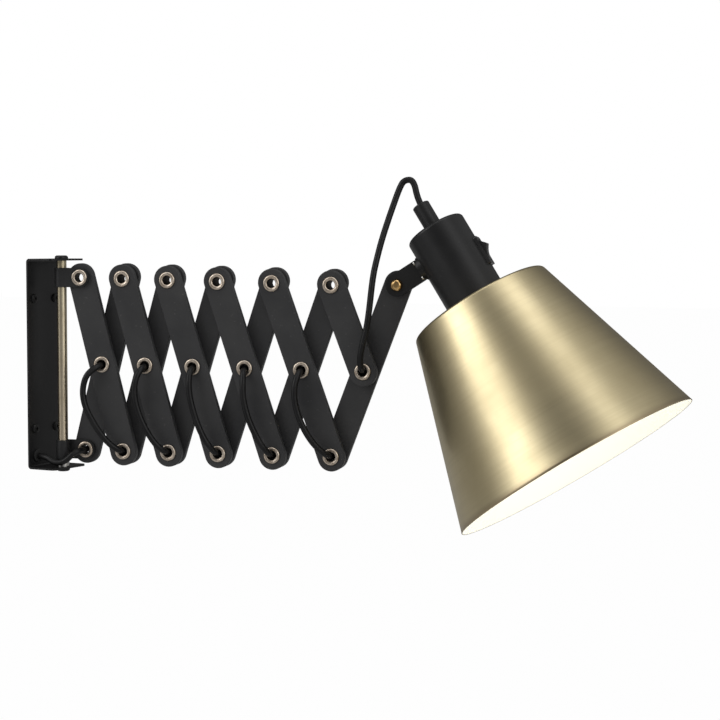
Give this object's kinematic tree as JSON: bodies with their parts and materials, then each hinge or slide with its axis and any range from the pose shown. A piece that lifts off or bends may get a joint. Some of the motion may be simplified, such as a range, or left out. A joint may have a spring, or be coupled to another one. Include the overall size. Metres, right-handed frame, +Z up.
{
  "type": "accordion wall lamp",
  "caption": "Wall lamp with a lazy-tongs arm of black flat bars on hollow eyelets, a swinging wall bracket and a tilting conical brass shade.",
  "frame": {"origin": "centre of the wall bracket's back face", "axes": "+X out from the wall, +Z up, +Y to the right when facing the wall from the room"},
  "size_m": [0.5349, 0.2217, 0.2863],
  "materials": {
    "bracket_black": "satin black",
    "rod_metal": "aged, polished",
    "spacer_steel": "plain",
    "grommet_rubber": "matt",
    "clip_black": "satin black",
    "eyelet_brass": "antique, rolled",
    "bar_black": "satin black",
    "cord_black": "satin",
    "head_black": "satin black",
    "nut_brass": "polished",
    "shade_brass": "brushed round, ivory inside",
    "holder_black": "gloss black",
    "bulb_steel": "plain",
    "bulb_glass": "opal",
    "switch_black": "gloss"
  },
  "bodies": {
    "bracket": {"wall_bracket": "bracket_black", "pivot_rod": "rod_metal", "rod_screws": "bracket_black", "lower_spacer": "spacer_steel", "cable_grommet": "grommet_rubber", "wall_lead": "cord_black"},
    "lower_clip": {"lower_clip": "clip_black", "lower_clip_eyelet": "eyelet_brass"},
    "back_bar_1": {"back_bar_1": "bar_black", "cord_back_1": "cord_black"},
    "front_bar_1": {"front_bar_1": "bar_black", "eyelets_1": "eyelet_brass", "cord_front_1": "cord_black"},
    "back_bar_2": {"back_bar_2": "bar_black", "cord_back_2": "cord_black"},
    "front_bar_2": {"front_bar_2": "bar_black", "eyelets_2": "eyelet_brass", "cord_front_2": "cord_black"},
    "back_bar_3": {"back_bar_3": "bar_black", "cord_back_3": "cord_black"},
    "front_bar_3": {"front_bar_3": "bar_black", "eyelets_3": "eyelet_brass", "cord_front_3": "cord_black"},
    "back_bar_4": {"back_bar_4": "bar_black", "cord_back_4": "cord_black"},
    "front_bar_4": {"front_bar_4": "bar_black", "eyelets_4": "eyelet_brass", "cord_front_4": "cord_black"},
    "back_bar_5": {"back_bar_5": "bar_black", "cord_back_5": "cord_black"},
    "front_bar_5": {"front_bar_5": "bar_black", "eyelets_5": "eyelet_brass", "cord_front_5": "cord_black"},
    "back_bar_6": {"back_bar_6": "bar_black", "cord_back_6": "cord_black", "head_lead_lower": "cord_black"},
    "front_bar_6": {"front_bar_6": "bar_black", "eyelets_6": "eyelet_brass"},
    "upper_clip": {"upper_clip": "clip_black", "upper_clip_eyelet": "eyelet_brass"},
    "head_yoke": {"head_tab": "head_black", "foot_screws": "spacer_steel", "tilt_bolt": "spacer_steel", "dome_nut": "nut_brass", "swivel_bolt": "spacer_steel"},
    "head": {"socket_housing": "head_black", "cord_grip": "head_black", "lampholder": "holder_black", "shade": "shade_brass", "shade_ring": "holder_black", "bulb_cap": "bulb_steel", "bulb_globe": "bulb_glass", "switch_body": "switch_black", "head_lead_upper": "cord_black"},
    "switch_rocker": {"switch_rocker": "switch_black"}
  },
  "joints": [
    {"name": "swing", "type": "hinge", "parent": "bracket", "child": "lower_clip", "pos_m": [0.02, 0, -0.0728], "axis": [0, 0, 1], "range_deg": [-85, 55], "deforming": ["wall_lead"]},
    {"name": "extend", "type": "hinge", "parent": "lower_clip", "child": "back_bar_1", "pos_m": [0.03768, 0.00474, -0.0728], "axis": [-0.2588, 0.9659, 0], "range_deg": [-2.5, 30.9]},
    {"name": "cross_1", "type": "hinge", "parent": "back_bar_1", "child": "front_bar_1", "pos_m": [0.05532, 0.00946, -0.00006], "axis": [-0.2588, 0.9659, 0], "range_deg": [-63.8, 7]},
    {"name": "foot_1", "type": "hinge", "parent": "front_bar_1", "child": "back_bar_2", "pos_m": [0.07297, 0.01419, -0.0728], "axis": [-0.2588, 0.9659, 0], "range_deg": [-6.89, 62.45]},
    {"name": "cross_2", "type": "hinge", "parent": "back_bar_2", "child": "front_bar_2", "pos_m": [0.09227, 0.01937, -0.00051], "axis": [-0.2588, 0.9659, 0], "range_deg": [-61.1, 6.78]},
    {"name": "foot_2", "type": "hinge", "parent": "front_bar_2", "child": "back_bar_3", "pos_m": [0.11157, 0.02454, -0.0728], "axis": [-0.2588, 0.9659, 0], "range_deg": [-6.67, 59.75]},
    {"name": "cross_3", "type": "hinge", "parent": "back_bar_3", "child": "front_bar_3", "pos_m": [0.13251, 0.03015, -0.001], "axis": [-0.2588, 0.9659, 0], "range_deg": [-58.4, 6.56]},
    {"name": "foot_3", "type": "hinge", "parent": "front_bar_3", "child": "back_bar_4", "pos_m": [0.15345, 0.03576, -0.0728], "axis": [-0.2588, 0.9659, 0], "range_deg": [-6.45, 57.05]},
    {"name": "cross_4", "type": "hinge", "parent": "back_bar_4", "child": "front_bar_4", "pos_m": [0.17602, 0.0418, -0.00153], "axis": [-0.2588, 0.9659, 0], "range_deg": [-55.7, 6.34]},
    {"name": "foot_4", "type": "hinge", "parent": "front_bar_4", "child": "back_bar_5", "pos_m": [0.19858, 0.04785, -0.0728], "axis": [-0.2588, 0.9659, 0], "range_deg": [-6.24, 54.35]},
    {"name": "cross_5", "type": "hinge", "parent": "back_bar_5", "child": "front_bar_5", "pos_m": [0.22276, 0.05433, -0.0021], "axis": [-0.2588, 0.9659, 0], "range_deg": [-53, 6.13]},
    {"name": "foot_5", "type": "hinge", "parent": "front_bar_5", "child": "back_bar_6", "pos_m": [0.24695, 0.06081, -0.0728], "axis": [-0.2588, 0.9659, 0], "range_deg": [-6.02, 51.65]},
    {"name": "cross_6", "type": "hinge", "parent": "back_bar_6", "child": "front_bar_6", "pos_m": [0.27273, 0.06772, -0.00271], "axis": [-0.2588, 0.9659, 0], "range_deg": [-50.3, 5.91]},
    {"name": "upper_clip_turn", "type": "hinge", "parent": "front_bar_1", "child": "upper_clip", "pos_m": [0.03768, 0.00474, 0.07268], "axis": [-0.2588, 0.9659, 0], "range_deg": [-4.5, 32.9]},
    {"name": "head_tilt", "type": "hinge", "parent": "back_bar_6", "child": "head_yoke", "pos_m": [0.29716, 0.0797, 0.06738], "axis": [0.2588, -0.9659, 0], "range_deg": [-22, 50], "deforming": ["head_lead_lower"]},
    {"name": "head_swivel", "type": "hinge", "parent": "head_yoke", "child": "head", "pos_m": [0.29716, 0.0797, 0.06738], "axis": [0.8147, 0.2183, 0.5373], "range_deg": [-75, 75], "deforming": ["head_lead_upper"]},
    {"name": "switch_press", "type": "hinge", "parent": "head", "child": "switch_rocker", "pos_m": [0.36593, 0.09634, 0.09501], "axis": [0.1965, -0.9756, 0.0984], "range_deg": [0, 14]}
  ],
  "couplings": [
    {"joint": "cross_1", "follows": "extend", "ratio": -2},
    {"joint": "foot_1", "follows": "extend", "ratio": 1.9563},
    {"joint": "cross_2", "follows": "extend", "ratio": -1.9126},
    {"joint": "foot_2", "follows": "extend", "ratio": 1.8689},
    {"joint": "cross_3", "follows": "extend", "ratio": -1.8252},
    {"joint": "foot_3", "follows": "extend", "ratio": 1.7816},
    {"joint": "cross_4", "follows": "extend", "ratio": -1.7379},
    {"joint": "foot_4", "follows": "extend", "ratio": 1.6942},
    {"joint": "cross_5", "follows": "extend", "ratio": -1.6505},
    {"joint": "foot_5", "follows": "extend", "ratio": 1.6068},
    {"joint": "cross_6", "follows": "extend", "ratio": -1.5631},
    {"joint": "upper_clip_turn", "follows": "extend", "ratio": 1}
  ]
}
